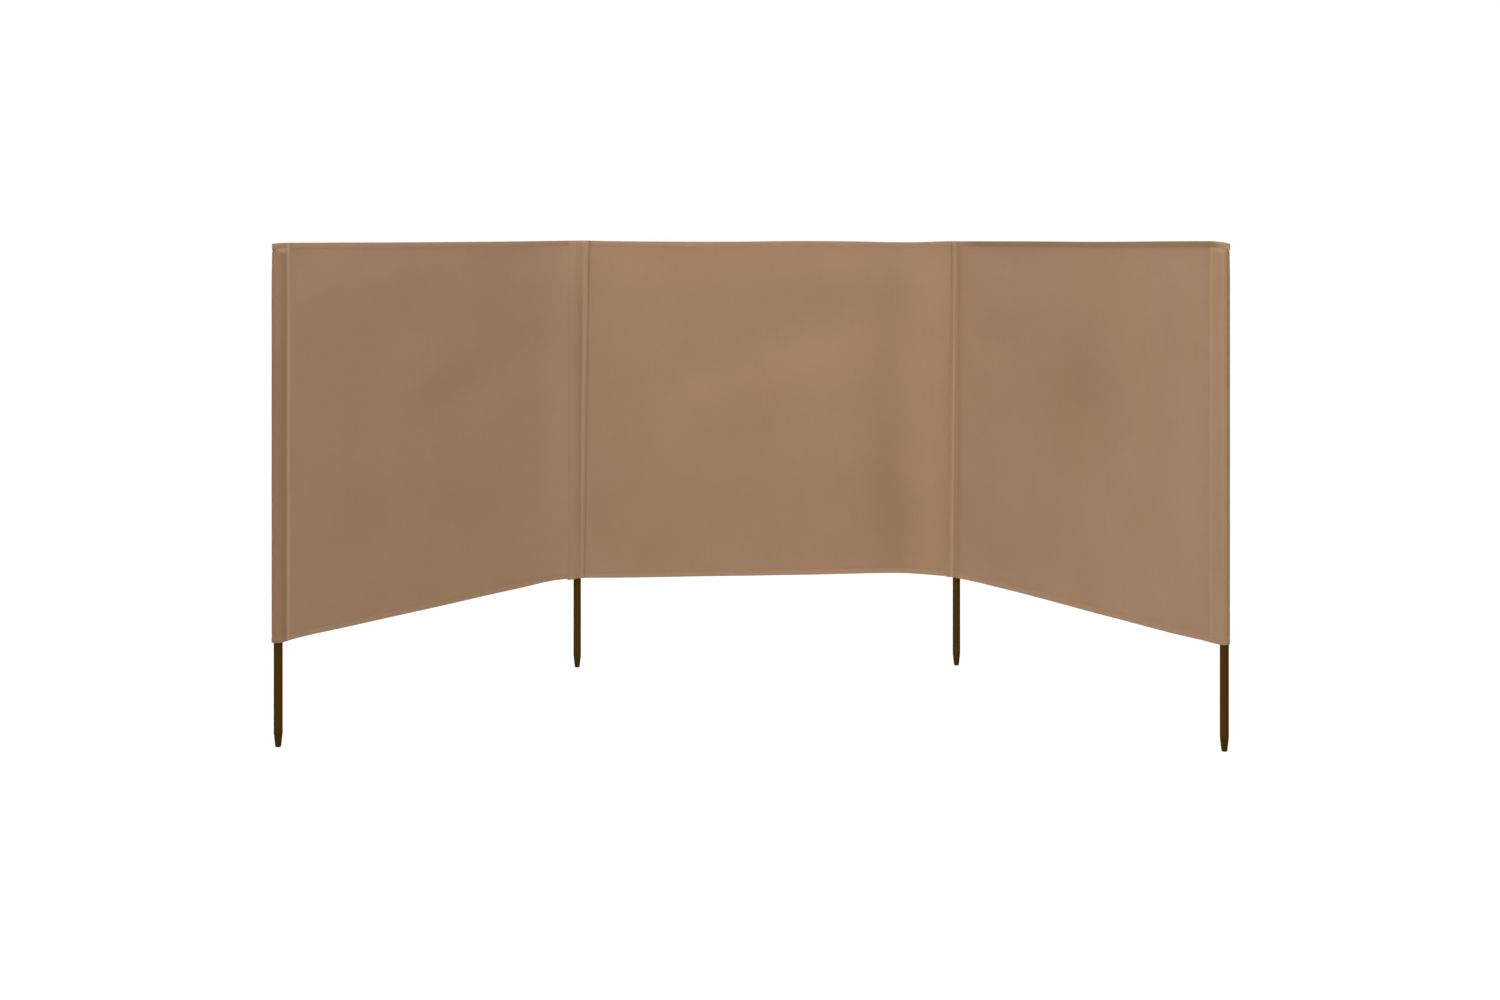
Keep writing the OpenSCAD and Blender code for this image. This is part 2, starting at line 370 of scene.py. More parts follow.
class Nodes:
    """A new material's node tree, with short calls to add and join nodes."""

    def __init__(self, name):
        self.material = bpy.data.materials.new(name)
        self.material.use_nodes = True
        self.tree = self.material.node_tree
        self.tree.nodes.clear()
        self.output = self.tree.nodes.new("ShaderNodeOutputMaterial")

    def add(self, kind, settings=None, **inputs):
        """A new node. Its inputs are values or other nodes' outputs, by name or as i0, i1 and so on."""
        node = self.tree.nodes.new("ShaderNode" + kind)
        for key, value in (settings or {}).items():
            setattr(node, key, value)
        for key, value in inputs.items():
            by_number = key[0] == "i" and key[1:].isdigit()
            socket = node.inputs[int(key[1:]) if by_number else key.replace("_", " ")]
            if isinstance(value, bpy.types.NodeSocket):
                self.tree.links.new(value, socket)
            else:
                socket.default_value = value
        return node

    def show(self, shader):
        self.tree.links.new(shader, self.output.inputs["Surface"])
        return self.material


WAVE_PITCH = 0.31416          # pitch of a wave texture at scale 1


def woven(name, dark, light, pressed, painted_light_colour, through, pitch):
    """Plain-woven cloth that lets some light through: yarns, slubs and a slow drift of tone.

    The pressed colour is painted shade, for a pole's painted shadow and for shade under a hem and in patches;
    the colour after it is painted light, on creases and in patches.
    """
    n = Nodes(name)
    flat = n.add("UVMap", {"uv_map": "weave"}).outputs["UV"]
    warp, weft = (n.add("TexWave", {"bands_direction": way}, Vector=flat, Scale=WAVE_PITCH / pitch,
                        Distortion=0.6, Detail=1.0).outputs["Fac"] for way in "XY")
    weave = n.add("Math", {"operation": "MULTIPLY"}, i0=warp, i1=weft).outputs[0]
    stretch = n.add("Mapping", Vector=flat, Scale=(14.0, 420.0, 1.0)).outputs[0]
    slub = n.add("TexNoise", Vector=stretch, Scale=1.0, Detail=3.0, Roughness=0.6).outputs["Fac"]
    upright = n.add("Mapping", Vector=flat, Scale=(420.0, 9.0, 1.0)).outputs[0]
    streak = n.add("TexNoise", Vector=upright, Scale=1.0, Detail=3.0, Roughness=0.6).outputs["Fac"]
    drift = n.add("TexNoise", Vector=flat, Scale=4.0, Detail=4.0, Roughness=0.5).outputs["Fac"]
    yarns = n.add("Math", {"operation": "ADD"}, i0=slub, i1=streak).outputs[0]
    tone = n.add("Math", {"operation": "ADD"}, i0=yarns, i1=drift).outputs[0]
    share = n.add("MapRange", Value=tone, From_Min=1.0, From_Max=2.0).outputs[0]
    plain = n.add("Mix", {"data_type": "RGBA"}, i0=share, i6=dark, i7=light).outputs[2]
    # Painted shade, then painted light, mixed in by the shares kept on the points
    deep, pale = (n.add("Attribute", {"attribute_name": tone}).outputs["Fac"] for tone in PAINTED_SHADE_AND_LIGHT)
    with_painted_shade = n.add("Mix", {"data_type": "RGBA"}, i0=deep, i6=plain, i7=pressed).outputs[2]
    colour = n.add("Mix", {"data_type": "RGBA"}, i0=pale, i6=with_painted_shade, i7=painted_light_colour).outputs[2]
    rough = n.add("MapRange", Value=yarns, From_Min=0.6, From_Max=1.4,
                  To_Min=0.96, To_Max=0.84).outputs[0]
    height = n.add("Math", {"operation": "ADD"}, i0=weave, i1=slub).outputs[0]
    bump = n.add("Bump", Height=height, Strength=0.35, Distance=0.25 * MM).outputs[0]
    skin = n.add("BsdfPrincipled", Base_Color=colour, Roughness=rough, Normal=bump)
    skin.inputs["Specular IOR Level"].default_value = 0.12
    skin.inputs["Sheen Weight"].default_value = 0.06
    skin.inputs["Sheen Roughness"].default_value = 0.5
    glow = n.add("BsdfTranslucent", Color=through, Normal=bump)
    return n.show(n.add("MixShader", i0=0.12, i1=skin.outputs[0], i2=glow.outputs[0]).outputs[0])


def thread(name, dark, light):
    """Twisted sewing thread."""
    n = Nodes(name)
    place = n.add("TexCoord").outputs["Object"]
    ply = n.add("TexNoise", Vector=place, Scale=1400.0, Detail=2.0).outputs["Fac"]
    colour = n.add("Mix", {"data_type": "RGBA"}, i0=ply, i6=dark, i7=light).outputs[2]
    bump = n.add("Bump", Height=ply, Strength=0.4, Distance=0.1 * MM).outputs[0]
    skin = n.add("BsdfPrincipled", Base_Color=colour, Roughness=0.75, Normal=bump)
    skin.inputs["Specular IOR Level"].default_value = 0.2
    return n.show(skin.outputs[0])


def powder_coat(name, dark, light, grain, shine):
    """Matt coat with a fine grain, a little rubbed in places."""
    n = Nodes(name)
    place = n.add("TexCoord").outputs["Object"]
    peel = n.add("TexNoise", Vector=place, Scale=grain, Detail=3.0, Roughness=0.65).outputs["Fac"]
    drawn = n.add("Mapping", Vector=place, Scale=(60.0, 60.0, 2.5)).outputs[0]
    rubbed = n.add("TexNoise", Vector=drawn, Scale=1.0, Detail=4.0, Roughness=0.6).outputs["Fac"]
    share = n.add("MapRange", Value=rubbed, From_Min=0.35, From_Max=0.75).outputs[0]
    colour = n.add("Mix", {"data_type": "RGBA"}, i0=share, i6=dark, i7=light).outputs[2]
    rough = n.add("MapRange", Value=rubbed, From_Min=0.3, From_Max=0.7,
                  To_Min=0.82, To_Max=0.66).outputs[0]
    bump = n.add("Bump", Height=peel, Strength=0.3, Distance=0.12 * MM).outputs[0]
    skin = n.add("BsdfPrincipled", Base_Color=colour, Roughness=rough, Normal=bump)
    skin.inputs["Specular IOR Level"].default_value = shine
    return n.show(skin.outputs[0])


THROUGH = srgb(250, 238, 226)
YARN_PITCH = 1.3 * MM
# Each cloth's pressed colour is painted shade, and the colour after it is painted light
CLOTH = woven("taupe_cloth", dark=srgb(148, 117, 88), light=srgb(159, 128, 101), pressed=srgb(141, 109, 80),
              painted_light_colour=srgb(174, 141, 112), through=THROUGH, pitch=YARN_PITCH)
# A copy of the cloth made lighter, for the hems and the right end sleeve: painted light
HEM_CLOTH_PAINTED_LIGHTER = woven("taupe_hem_painted_lighter", dark=srgb(152, 120, 91), light=srgb(163, 132, 105), pressed=srgb(145, 113, 84),
            painted_light_colour=srgb(178, 145, 116), through=THROUGH, pitch=YARN_PITCH)
THREAD = thread("taupe_thread", srgb(120, 92, 68), srgb(150, 118, 90))
POLE = powder_coat("brown_coat", srgb(62, 43, 8), srgb(74, 52, 13), grain=900.0, shine=0.0)
TIP = powder_coat("brown_tip", srgb(54, 37, 7), srgb(66, 46, 11), grain=500.0, shine=0.02)


# Cloth pieces

# A hem's half thickness by the distance in from the edge, in mm
HEM_PROFILE = [(0.15, 0.42), (0.5, 0.8), (1.2, 1.05), (3, 1.2), (7, 1.25), (11, 1.08), (13.2, 0.82),
               (HEM_STITCH / MM, 0.72), (15.8, 0.84), (17, 0.88), (17.7, 0.75), (18, 0.45)]


def hem_half(h):
    """Half of the hem's thickness at h in from the cloth's edge."""
    at, half = np.array(HEM_PROFILE).T * MM
    return np.interp(h, at, half)


def panel(bay):
    """The bay's cloth between its hems, as a thin closed sheet."""
    upright = np.linspace(bay.first, bay.last, PANEL_STEPS)
    low, high = bay.bottom(upright) + HEM_H - HEM_TUCK, bay.top(upright) - HEM_H + HEM_TUCK
    z = low + rows_between(0, 1, PANEL_ROWS)[:, None] * (high - low)
    u = bay.across(np.linspace(0, 1, PANEL_STEPS), z)
    v = bay.sheet(u, z)
    faces_out = [bay.place(u, v + side * CLOTH_T / 2, z) for side in (-1, 1)]
    rings = np.concatenate([faces_out[0], faces_out[1][:, ::-1]], axis=1)
    flat = np.stack(np.broadcast_arrays(u, z), axis=-1)
    made = piece(f"{bay.name}_panel_cloth", rings, loft(rings), CLOTH,
                 np.concatenate([flat, flat[:, ::-1]], axis=1))
    # Painted light where the patches are plus, painted shade where they are minus
    tone = bay.tone(u, z)
    tone = np.concatenate([tone, tone[:, ::-1]], axis=1)
    paint_shade_and_light(made, -tone, tone)
    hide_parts(f"{bay.name}_panel")
    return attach(made, bay.body)


def hem_point(bay, u, h, side, at_top):
    """A point on a hem's skin, h in from the edge. side is -1 inside and 1 outside."""
    edge = bay.top(u) if at_top else bay.bottom(u)
    z = edge - h if at_top else edge + h
    tilt = bay.lean * (1 - h / HEM_H) * smooth((u - bay.seam(0, z)) / LEAN_START) if at_top else 0
    return bay.place(u, bay.sheet(u, z) + tilt + side * hem_half(h), z)


def hem(bay, at_top):
    """A turned and stitched hem along one edge of the bay."""
    u = bay.across(np.linspace(0, 1, HEM_STEPS)[:, None], TOP if at_top else BOTTOM)
    h = np.array([p[0] * MM for p in HEM_PROFILE])
    front, back = (hem_point(bay, u, h, side, at_top) for side in (-1, 1))
    rings = np.concatenate([front, back[:, ::-1]], axis=1)
    flat = np.stack(np.broadcast_arrays(u, h), axis=-1)
    where = "top" if at_top else "bottom"
    made = piece(f"{bay.name}_{where}_hem_cloth", rings, loft(rings), HEM_CLOTH_PAINTED_LIGHTER,
                 np.concatenate([flat, flat[:, ::-1]], axis=1), sharp=60)
    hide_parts(f"{bay.name}_{where}_hem")
    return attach(made, bay.body)


def along_path(values, walk, at):
    """The rows of values, given at the distances walk along a path, read at other distances."""
    return np.column_stack([np.interp(at, walk, column) for column in values.T])


def resampled(path, count):
    """A path's points, evenly spaced along it."""
    walk = np.concatenate([[0], np.cumsum(np.hypot(*np.diff(path, axis=0).T))])
    return along_path(path, walk, np.linspace(0, walk[-1], count))


def softened(path, passes):
    """A path with its corners eased and its ends kept."""
    for _ in range(passes):
        path[1:-1] = (path[:-2] + 2 * path[1:-1] + path[2:]) / 4
    return path


def flank(radius, reach, angle):
    """Distance from a pole's axis to cloth stretched from a seam at reach onto a loop of that radius."""
    touch = math.acos(radius / reach)
    return np.where(angle < touch, radius / np.cos(np.minimum(angle, touch) - touch), radius)


def loop_levels(low, high):
    """Levels of a sleeve's rings: close together at the hems and where the loop closes."""
    foot_hem = low + np.array([0, 0.5, 1.2, 3, 7, 11, 13.2, 14.5, 15.8, 17, 18]) * MM
    tube = np.linspace(low + 24 * MM, high - HEM_H - 16 * MM, 70)
    closing = np.linspace(high - HEM_H - 13 * MM, high - HEM_H, 9)
    top_hem = high - np.array([17, 15.8, 14.5, 13.2, 11, 7, 3, 1.2, 0.5, 0.15]) * MM
    return np.concatenate([foot_hem, tube, closing, top_hem])


class Sleeve:
    """A pocket of cloth round a pole, from its open foot to its stitched top.

    section: gives the front and back paths of its cross-section at a level, and the line that its top is
    pressed to. front: the way that its front faces.
    lifts: how far its foot and its top lie above their levels, each at the seam and at the far corner.
    lean: how far the hem leans that runs on over it. shade: how strong the painted shadow of its pole is.
    pale: gives the share of painted light on its front, by level and distance along it.
    """

    def __init__(self, foot, section, front, lifts, lean, shade, pale, phase):
        self.foot, self.section, self.front = foot, section, np.array(front)
        self.shade, self.pale, self.phase = shade, pale, phase
        self.count = SLEEVE_STEPS
        self.share = np.linspace(0, 1, self.count)
        self.low, self.high = (at_seam + (at_corner - at_seam) * self.share**2.2
                               for at_seam, at_corner in lifts)
        self.leans = lean != 0
        self.lean = -lean * (1 - smooth((self.share - 0.2) / 0.6))
        self.known = {}

    def paths(self, z):
        """The section at z: its front and back, and its pressed line."""
        if z not in self.known:
            self.known[z] = [softened(resampled(path, self.count), 10) for path in self.section(z)]
        return self.known[z]

    def outward(self, path, towards):
        """Unit normals of a path, on the side of towards."""
        run = np.gradient(path, axis=0)
        normal = np.column_stack([run[:, 1], -run[:, 0]]) / np.hypot(*run.T)[:, None]
        return normal * np.sign(np.sum(normal[self.count // 2] * towards))

    def wrinkle(self, z):
        k, p = self.share, self.phase
        held = np.sin(math.pi * k) ** 2
        slow = np.sin(23 * z + 9 * k + p) + 0.6 * np.sin(61 * z - 14 * k + 2 * p)
        return SLEEVE_WRINKLE * held * slow

    def half(self, side, z, skin):
        """The front (side 0) or back (side 1) of the ring at z. skin 1 is its outside, -1 its inside."""
        *loops, band = self.paths(z)
        loop, other = loops[side], loops[1 - side]
        out = self.outward(loop, (loop - other)[self.count // 2])
        foot_h, top_h = z - BOTTOM, TOP - z
        hem = np.where(foot_h < HEM_H, hem_half(foot_h) - hem_half(HEM_STITCH), 0)
        gap = np.hypot(*(loop - other).T)
        slack = 0.6 * max(loop_radius(loop) - POLE_R - CLOTH_T, 0)
        snug = np.minimum(0.3 * gap, min(SNUG, slack)) * smooth((z - POLE_HIGH + SNUG_RUN) / SNUG_RUN)
        off = CLOTH_T / 2 + hem if skin > 0 else -np.minimum(CLOTH_T / 2, 0.4 * gap)
        open_ring = loop + out * (self.wrinkle(z) - snug + off)[:, None]
        closing = smooth((z - POLE_HIGH) / (TOP - HEM_STITCH - POLE_HIGH))
        facing = 1 if side == 0 else -1
        thick = hem_half(np.clip(top_h, 0, HEM_H)) + SEAM_PROUD if skin > 0 else SHUT_GAP
        tilt = self.lean * (1 - np.clip(top_h, 0, HEM_H) / HEM_H)
        shut_ring = band + self.outward(band, self.front) * (facing * thick + tilt)[:, None]
        gather = 4 * closing * (1 - closing) * np.sin(math.pi * self.share)
        pleat = CLOSE_PLEAT * np.sin(38 * self.share + self.phase) * gather
        ring = open_ring + (shut_ring - open_ring) * closing + out * pleat[:, None]
        by_top = smooth((z - POLE_HIGH) / (TOP - HEM_H - POLE_HIGH))
        by_foot = smooth((BOTTOM + 100 * MM - z) / (80 * MM))
        return np.column_stack([ring + self.foot, z + self.high * by_top + self.low * by_foot])

    def painted_shade_share(self, z):
        """The ring's painted shade at z: a painted shadow of its pole, and painted shade under a leaning hem.
        """
        below_end = smooth((POLE_HIGH + 4 * MM - z) / (8 * MM))
        shade = self.shade * below_end * (0.65 + 0.35 * smooth((SHADE_HIGH - z) / SHADE_RUN))
        *loops, _ = self.paths(z)
        reach = 1.05 * max(loop_radius(loop) for loop in loops)
        front, back = (shade * (1 - smooth((np.hypot(*loop.T) - reach) / (6 * MM))) for loop in loops)
        if self.leans:
            front = front + self.hem_shade(z - TOP + HEM_H)
        return np.concatenate([front, back[::-1]])

    def hem_shade(self, height):
        """Painted shade on the front under a leaning hem, and a painted shadow under its corner. height is
        above the hem's foot.
        """
        hem = smooth(height / (4 * MM)) * (1 - smooth((self.share - 0.2) / 0.2))
        corner = np.exp(-(((height + 2 * MM) / (4 * MM)) ** 2)) * smooth((self.share - 0.5) / 0.2)
        return hem + corner

    def walk(self, z):
        """Distances along the front of the ring at z."""
        front = self.paths(z)[0]
        return np.cumsum(np.hypot(*np.diff(front, axis=0, prepend=front[:1]).T))

    def painted_light_share(self, z):
        """The painted light on the ring at z: on its front, by the distance along it."""
        return np.concatenate([self.pale(z, self.walk(z)), np.zeros(self.count)])

    def ring(self, z, skin):
        return np.concatenate([self.half(0, z, skin), self.half(1, z, skin)[::-1]])

    def mesh(self, name, material):
        outer = loop_levels(BOTTOM, TOP)
        inner = outer[outer <= TUBE_TOP + 8 * MM][::-1]
        rings = np.array([self.ring(z, -1) for z in inner] + [self.ring(z, 1) for z in outer])
        walk = self.walk(BOTTOM)
        across = np.concatenate([walk, walk[::-1]])
        levels = np.concatenate([inner, outer])
        flat = np.stack(np.broadcast_arrays(across, levels[:, None]), axis=-1)
        made = piece(name, rings, loft(rings), material, flat, sharp=55)
        # Painted shade from the pole and a leaning hem, and painted light on creases
        paint_shade_and_light(made, *(np.array([share(z) for z in levels]) for share in (self.painted_shade_share, self.painted_light_share)))
        return made


def painted_light_line(walk, middle, half, strength):
    """A soft-edged line of painted light along a crease, by the distance across it."""
    return strength * np.exp(-(((walk - middle) / half) ** 4))


def loop_radius(loop):
    """How close a loop comes to the axis of its pole."""
    return np.hypot(*loop.T).min()


def polar(r, angle):
    return np.column_stack([r * np.cos(angle), r * np.sin(angle)])


def seam_path(bay, reach, from_end, side):
    """The two points of a sleeve's seam lip, beside its pole's foot."""
    u = np.array([reach + SEAM_LIP, reach])
    place = bay.length - u if from_end else u
    foot = bay.start + (bay.along * bay.length if from_end else 0)
    return bay.place(place, bay.curve(place) + side * SEAM_HALF, 0.0)[:, :2] - foot


def round_pole(start, end, radius, turn):
    """A path from start to end, taut round a loop of that radius about the axis. turn is its direction."""
    a0, a1 = (math.atan2(p[1], p[0]) for p in (start, end))
    total = (turn * (a1 - a0)) % (2 * math.pi)
    angle = np.linspace(0, total, 240)
    r = np.maximum(flank(radius, np.hypot(*start), angle), flank(radius, np.hypot(*end), total - angle))
    return polar(r, a0 + turn * angle)


def middle_sleeve(name, wing, from_end, lifts, shade, crease, phase):
    """The sleeve between a wing and the middle bay.

    Its front runs on from the wing past the pole to a flat pleat on the middle bay. Its back is a loop.
    crease: how far from its seam the painted light on the pleat lies, and how strong it is.
    """
    foot = FOOT[name]
    inward = -MIDDLE.along if from_end else MIDDLE.along
    wing_reach = wing.seams[0][0]
    turn = math.copysign(1, wing.along[0] * wing.out[1] - wing.along[1] * wing.out[0])
    tilt = -PLEAT_TILT if from_end else PLEAT_TILT

    def section(z):
        reach = MIDDLE.seam(int(from_end), z)
        (wing_front, wing_back), (bay_front, bay_back) = (
            [seam_path(bay, far, end, side) for side in (-1, 1)]
            for bay, far, end in ((wing, wing_reach, False), (MIDDLE, reach, from_end)))
        ahead = wing_front[1] - wing_front[0]
        level = np.sum(bay_front[1] * MIDDLE.out) - PLEAT_RISE + tilt
        to_level = (level - np.sum(wing_front[1] * MIDDLE.out)) / np.sum(ahead * MIDDLE.out)
        passed = wing_front[1] + ahead * to_level
        crease = inward * max(np.sum(passed * inward), reach - PLEAT_W) + MIDDLE.out * level
        edge = bay_front[1] - inward * MM - MIDDLE.out * (PLEAT_RISE + tilt)
        front = np.concatenate([wing_front, [crease, edge], bay_front[::-1]])
        loop = round_pole(wing_back[1], bay_back[1], MIDDLE_SLEEVE_R, turn)
        return front, np.concatenate([wing_back[:1], loop, bay_back[:1]]), front

    def pale(z, walk):
        # The wing's painted light runs on to the pole, and at the top as far as the pleat, which has its own
        # painted light line
        from_bay = walk[-1] - walk
        upper = smooth((z - TOP + 270 * MM) / (200 * MM))
        fade = smooth((walk - wing_reach + 24 * MM) / (32 * MM)) * (1 - 0.6 * upper)
        before_pleat = smooth((from_bay - 22 * MM) / (8 * MM))
        joined = 1.3 * max(wing.tone(wing_reach, z), 0) * (1 - fade) * before_pleat
        return joined + painted_light_line(from_bay, crease[0], PAINTED_LIGHT_HALF, crease[1])

    sleeve = Sleeve(foot, section, -(wing.out + MIDDLE.out), lifts, 0, shade, pale, phase)
    made = sleeve.mesh(f"{name}_sleeve_cloth", CLOTH)
    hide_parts(f"{name}_sleeve", f"{name}_sleeve_top")
    held = min(MIDDLE.seams[int(from_end)])
    start, end = ((*(foot + way), 0.0) for way in (wing.along * wing_reach, inward * held))
    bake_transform(made)
    return sleeve, start, end


def end_sleeve(bay, name, radius, corner, tail, material, shade, pale, phase):
    """The sleeve at a wing's free end: a loop round the pole, closed along a seam in the bay.

    corner: how far its bottom and top corners lie above their levels.
    tail: where its flat top ends, along the bay and outward from the pole's axis.
    """
    foot, reach = FOOT[name], bay.length - bay.last
    seam = float(bay.curve(bay.last))

    def turned_to_bay(local):
        return local[:, :1] * bay.along + local[:, 1:] * bay.out

    paths = []
    for side in (-1, 1):
        lip = np.array([[-reach - SEAM_LIP, seam + side * SEAM_HALF], [-reach, seam + side * SEAM_HALF]])
        loop = round_pole(lip[1], np.array([radius, 0]), radius, -side)
        paths.append(turned_to_bay(np.concatenate([lip[:1], loop])))
    band = turned_to_bay(np.linspace([-reach - SEAM_LIP, seam], tail, 120))
    lifts = (bay.bottom(bay.last) - BOTTOM, corner[0]), (bay.top(bay.last) - TOP, corner[1])
    sleeve = Sleeve(foot, lambda z: (*paths, band), -bay.out, lifts, bay.lean, shade,
                    lambda z, walk: painted_light_line(walk, END_PAINTED_LIGHT_AT, END_PAINTED_LIGHT_HALF, pale), phase)
    made = sleeve.mesh(f"{name}_sleeve_cloth", material)
    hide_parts(f"{name}_sleeve", f"{name}_sleeve_top")
    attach(made, bay.body)
    return sleeve


# Stitching


def stitch_row(path, out):
    """Points and faces of short threads along a path. out points away from the cloth."""
    step = np.linalg.norm(np.diff(path, axis=0), axis=1)
    walk = np.concatenate([[0], np.cumsum(step)])
    at = np.arange(STITCH_PITCH / 2, walk[-1], STITCH_PITCH)
    centre = along_path(path, walk, at)
    run = along_path(path, walk, at + MM) - along_path(path, walk, at - MM)
    run /= np.linalg.norm(run, axis=1)[:, None]
    up = along_path(out, walk, at)
    up -= np.sum(up * run, axis=1)[:, None] * run
    up /= np.linalg.norm(up, axis=1)[:, None]
    wide = np.cross(run, up)
    half_run, half_wide = run * STITCH_LEN / 2, wide * STITCH_W / 2
    corners = np.stack([centre - half_run, centre + half_wide, centre + up * STITCH_H,
                        centre - half_wide, centre - up * STITCH_H / 2, centre + half_run], axis=1)
    spindle = np.array([(0, 2, 1), (0, 3, 2), (0, 4, 3), (0, 1, 4),
                        (5, 1, 2), (5, 2, 3), (5, 3, 4), (5, 4, 1)])
    faces = (np.arange(len(at))[:, None, None] * 6 + spindle).reshape(-1, 3)
    return corners.reshape(-1, 3), faces


def stitches(name, rows):
    """One piece of all these rows of stitches."""
    points, faces, count = [], [], 0
    for path, out in rows:
        p, f = stitch_row(path, out)
        points.append(p)
        faces.append(f + count)
        count += len(p)
    made = piece(name, np.concatenate(points), np.concatenate(faces), THREAD, sharp=80)
    return made


def bay_stitches(bay):
    """Hem stitches along the bay and, on a wing, the seam stitches of its end sleeve."""
    inset = SEAM_LIP / bay.length
    share = np.linspace(inset, 1 - inset, STITCH_STEPS)
    deep = np.full(STITCH_STEPS, HEM_STITCH)
    rows = []
    for side in (-1, 1):
        out = np.broadcast_to([*(side * bay.out), 0.0], (STITCH_STEPS, 3))
        for at_top, edge in ((True, TOP), (False, BOTTOM)):
            rows.append((hem_point(bay, bay.across(share, edge), deep, side, at_top), out))
        if bay is not MIDDLE:
            z = np.linspace(BOTTOM + HEM_H, TOP - HEM_H, STITCH_STEPS)
            u = np.full(STITCH_STEPS, bay.last - SEAM_LIP / 2)
            rows.append((bay.place(u, bay.sheet(u, z) + side * SEAM_STITCH, z), out))
    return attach(stitches(f"{bay.name}_stitching", rows), bay.body)


def seam_rows(bay, end):
    """Stitches up a middle sleeve's seam, inside and outside."""
    z = np.linspace(BOTTOM + HEM_H, TOP - HEM_H, STITCH_STEPS)
    at = bay.seam(end, z) + SEAM_LIP / 2
    u = bay.length - at if end else at
    return [(bay.place(u, bay.sheet(u, z) + side * SEAM_STITCH, z),
             np.broadcast_to([*(side * bay.out), 0.0], (STITCH_STEPS, 3))) for side in (-1, 1)]


def sleeve_rows(sleeve):
    """Hem stitches that run on round a sleeve, at its foot and across its closed top."""
    rows = []
    for z in (BOTTOM + HEM_STITCH, TOP - HEM_STITCH):
        for side in (0, 1):
            path = sleeve.half(side, z, 1)
            out = path - sleeve.half(1 - side, z, 1)
            out[:, 2] = 0
            out[0], out[-1] = out[1], out[-2]
            rows.append((path, out))
    return rows


# Poles


def turned(foot, profile, count=48):
    """Rings of a turned shape from (radius, level) points."""
    angle = np.linspace(0, 2 * math.pi, count, endpoint=False)
    r, z = np.array(profile).T
    flat = foot + np.stack([r[:, None] * np.cos(angle), r[:, None] * np.sin(angle)], axis=-1)
    return np.concatenate([flat, np.broadcast_to(z[:, None, None], (*flat.shape[:2], 1))], axis=-1)


def pole(name, body):
    """A tube with eased ends, and its plugged, tapered tip."""
    foot, bore, ease = FOOT[name], POLE_R - POLE_WALL, 0.4 * MM
    levels = np.linspace(POLE_LOW + ease, POLE_HIGH - ease, 24)
    tube = [(POLE_R - ease, POLE_LOW), *((POLE_R, z) for z in levels), (POLE_R - ease, POLE_HIGH),
            (bore, POLE_HIGH), (bore, POLE_LOW)]
    rings = turned(foot, tube)
    made = piece(f"{name}_pole_tube", rings, loft(rings, closed=True), POLE)
    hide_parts(f"{name}_pole")
    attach(made, body)

    shoulder = POLE_LOW - 0.5 * MM
    slope = math.atan2(POLE_R - TIP_END_R, POLE_LOW)
    bend = np.linspace(-math.pi / 2, -slope, 9)
    nose_r = TIP_END_R + TIP_ROUND * math.tan(slope) - TIP_ROUND * math.cos(slope)
    nose = [(nose_r + TIP_ROUND * math.cos(a), TIP_ROUND + TIP_ROUND * math.sin(a)) for a in bend]
    side = [(nose[-1][0] + (POLE_R - nose[-1][0]) * t, nose[-1][1] + (shoulder - nose[-1][1]) * t)
            for t in np.linspace(0.1, 1, 10)]
    plug_r = bore - PLUG_GAP
    plug = [(POLE_R - 0.5 * MM, POLE_LOW), (plug_r, POLE_LOW), (plug_r, POLE_LOW + PLUG_LEN - MM),
            (plug_r - MM, POLE_LOW + PLUG_LEN)]
    rings = turned(foot, nose + side + plug)
    tip = piece(f"{name}_tip_plug", rings, loft(rings), TIP)
    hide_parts(f"{name}_tip")
    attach(tip, body)


pole("left_end", "left_wing")
pole("left_middle", "middle_bay")
pole("right_middle", "middle_bay")
pole("right_end", "right_wing")

panels = {bay.name: panel(bay) for bay in BAYS}
hems = {bay.name: [hem(bay, at_top) for at_top in (True, False)] for bay in BAYS}
# shade: strength of the pole's painted shadow; crease: where the pleat's painted light lies, and how strong
left_turn = middle_sleeve(
    "left_middle", LEFT, from_end=False, lifts=((2.5 * MM, 2.5 * MM), (2.5 * MM, 2.5 * MM)),
    shade=0.0, crease=(18 * MM, 0.5), phase=0.4)
right_turn = middle_sleeve(
    "right_middle", RIGHT, from_end=True, lifts=((0, 0), (0, 0)),
    shade=0.4, crease=(20 * MM, 0.7), phase=2.9)
# shade: the pole's painted shadow; pale: strength of a painted light line; the right one's lighter hem cloth
# is painted light
left_end = end_sleeve(
    LEFT, "left_end", LEFT_END_R, corner=(0, -3 * MM), tail=(30 * MM, -9 * MM), material=CLOTH,
    shade=1.0, pale=0.8, phase=1.7)
right_end = end_sleeve(
    RIGHT, "right_end", RIGHT_END_R, corner=(5 * MM, -3 * MM), tail=(24 * MM, -1 * MM), material=HEM_CLOTH_PAINTED_LIGHTER,
    shade=0.0, pale=0.3, phase=5.2)

threads = {bay.name: bay_stitches(bay) for bay in BAYS}
for wing, sleeve in ((LEFT, left_end), (RIGHT, right_end)):
    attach(stitches(f"{wing.name}_end_sleeve_stitching", sleeve_rows(sleeve)), wing.body)
for wing, bay_end, (sleeve, start, end) in ((LEFT, 0, left_turn), (RIGHT, 1, right_turn)):
    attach(stitches(f"{wing.name}_middle_wing_seam", seam_rows(wing, 0)), wing.body)
    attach(stitches(f"{wing.name}_middle_bay_seam", seam_rows(MIDDLE, bay_end)), "middle_bay")
    crossing = stitches(f"{wing.name}_middle_sleeve_stitching", sleeve_rows(sleeve))
    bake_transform(crossing)


# Stage, light and camera


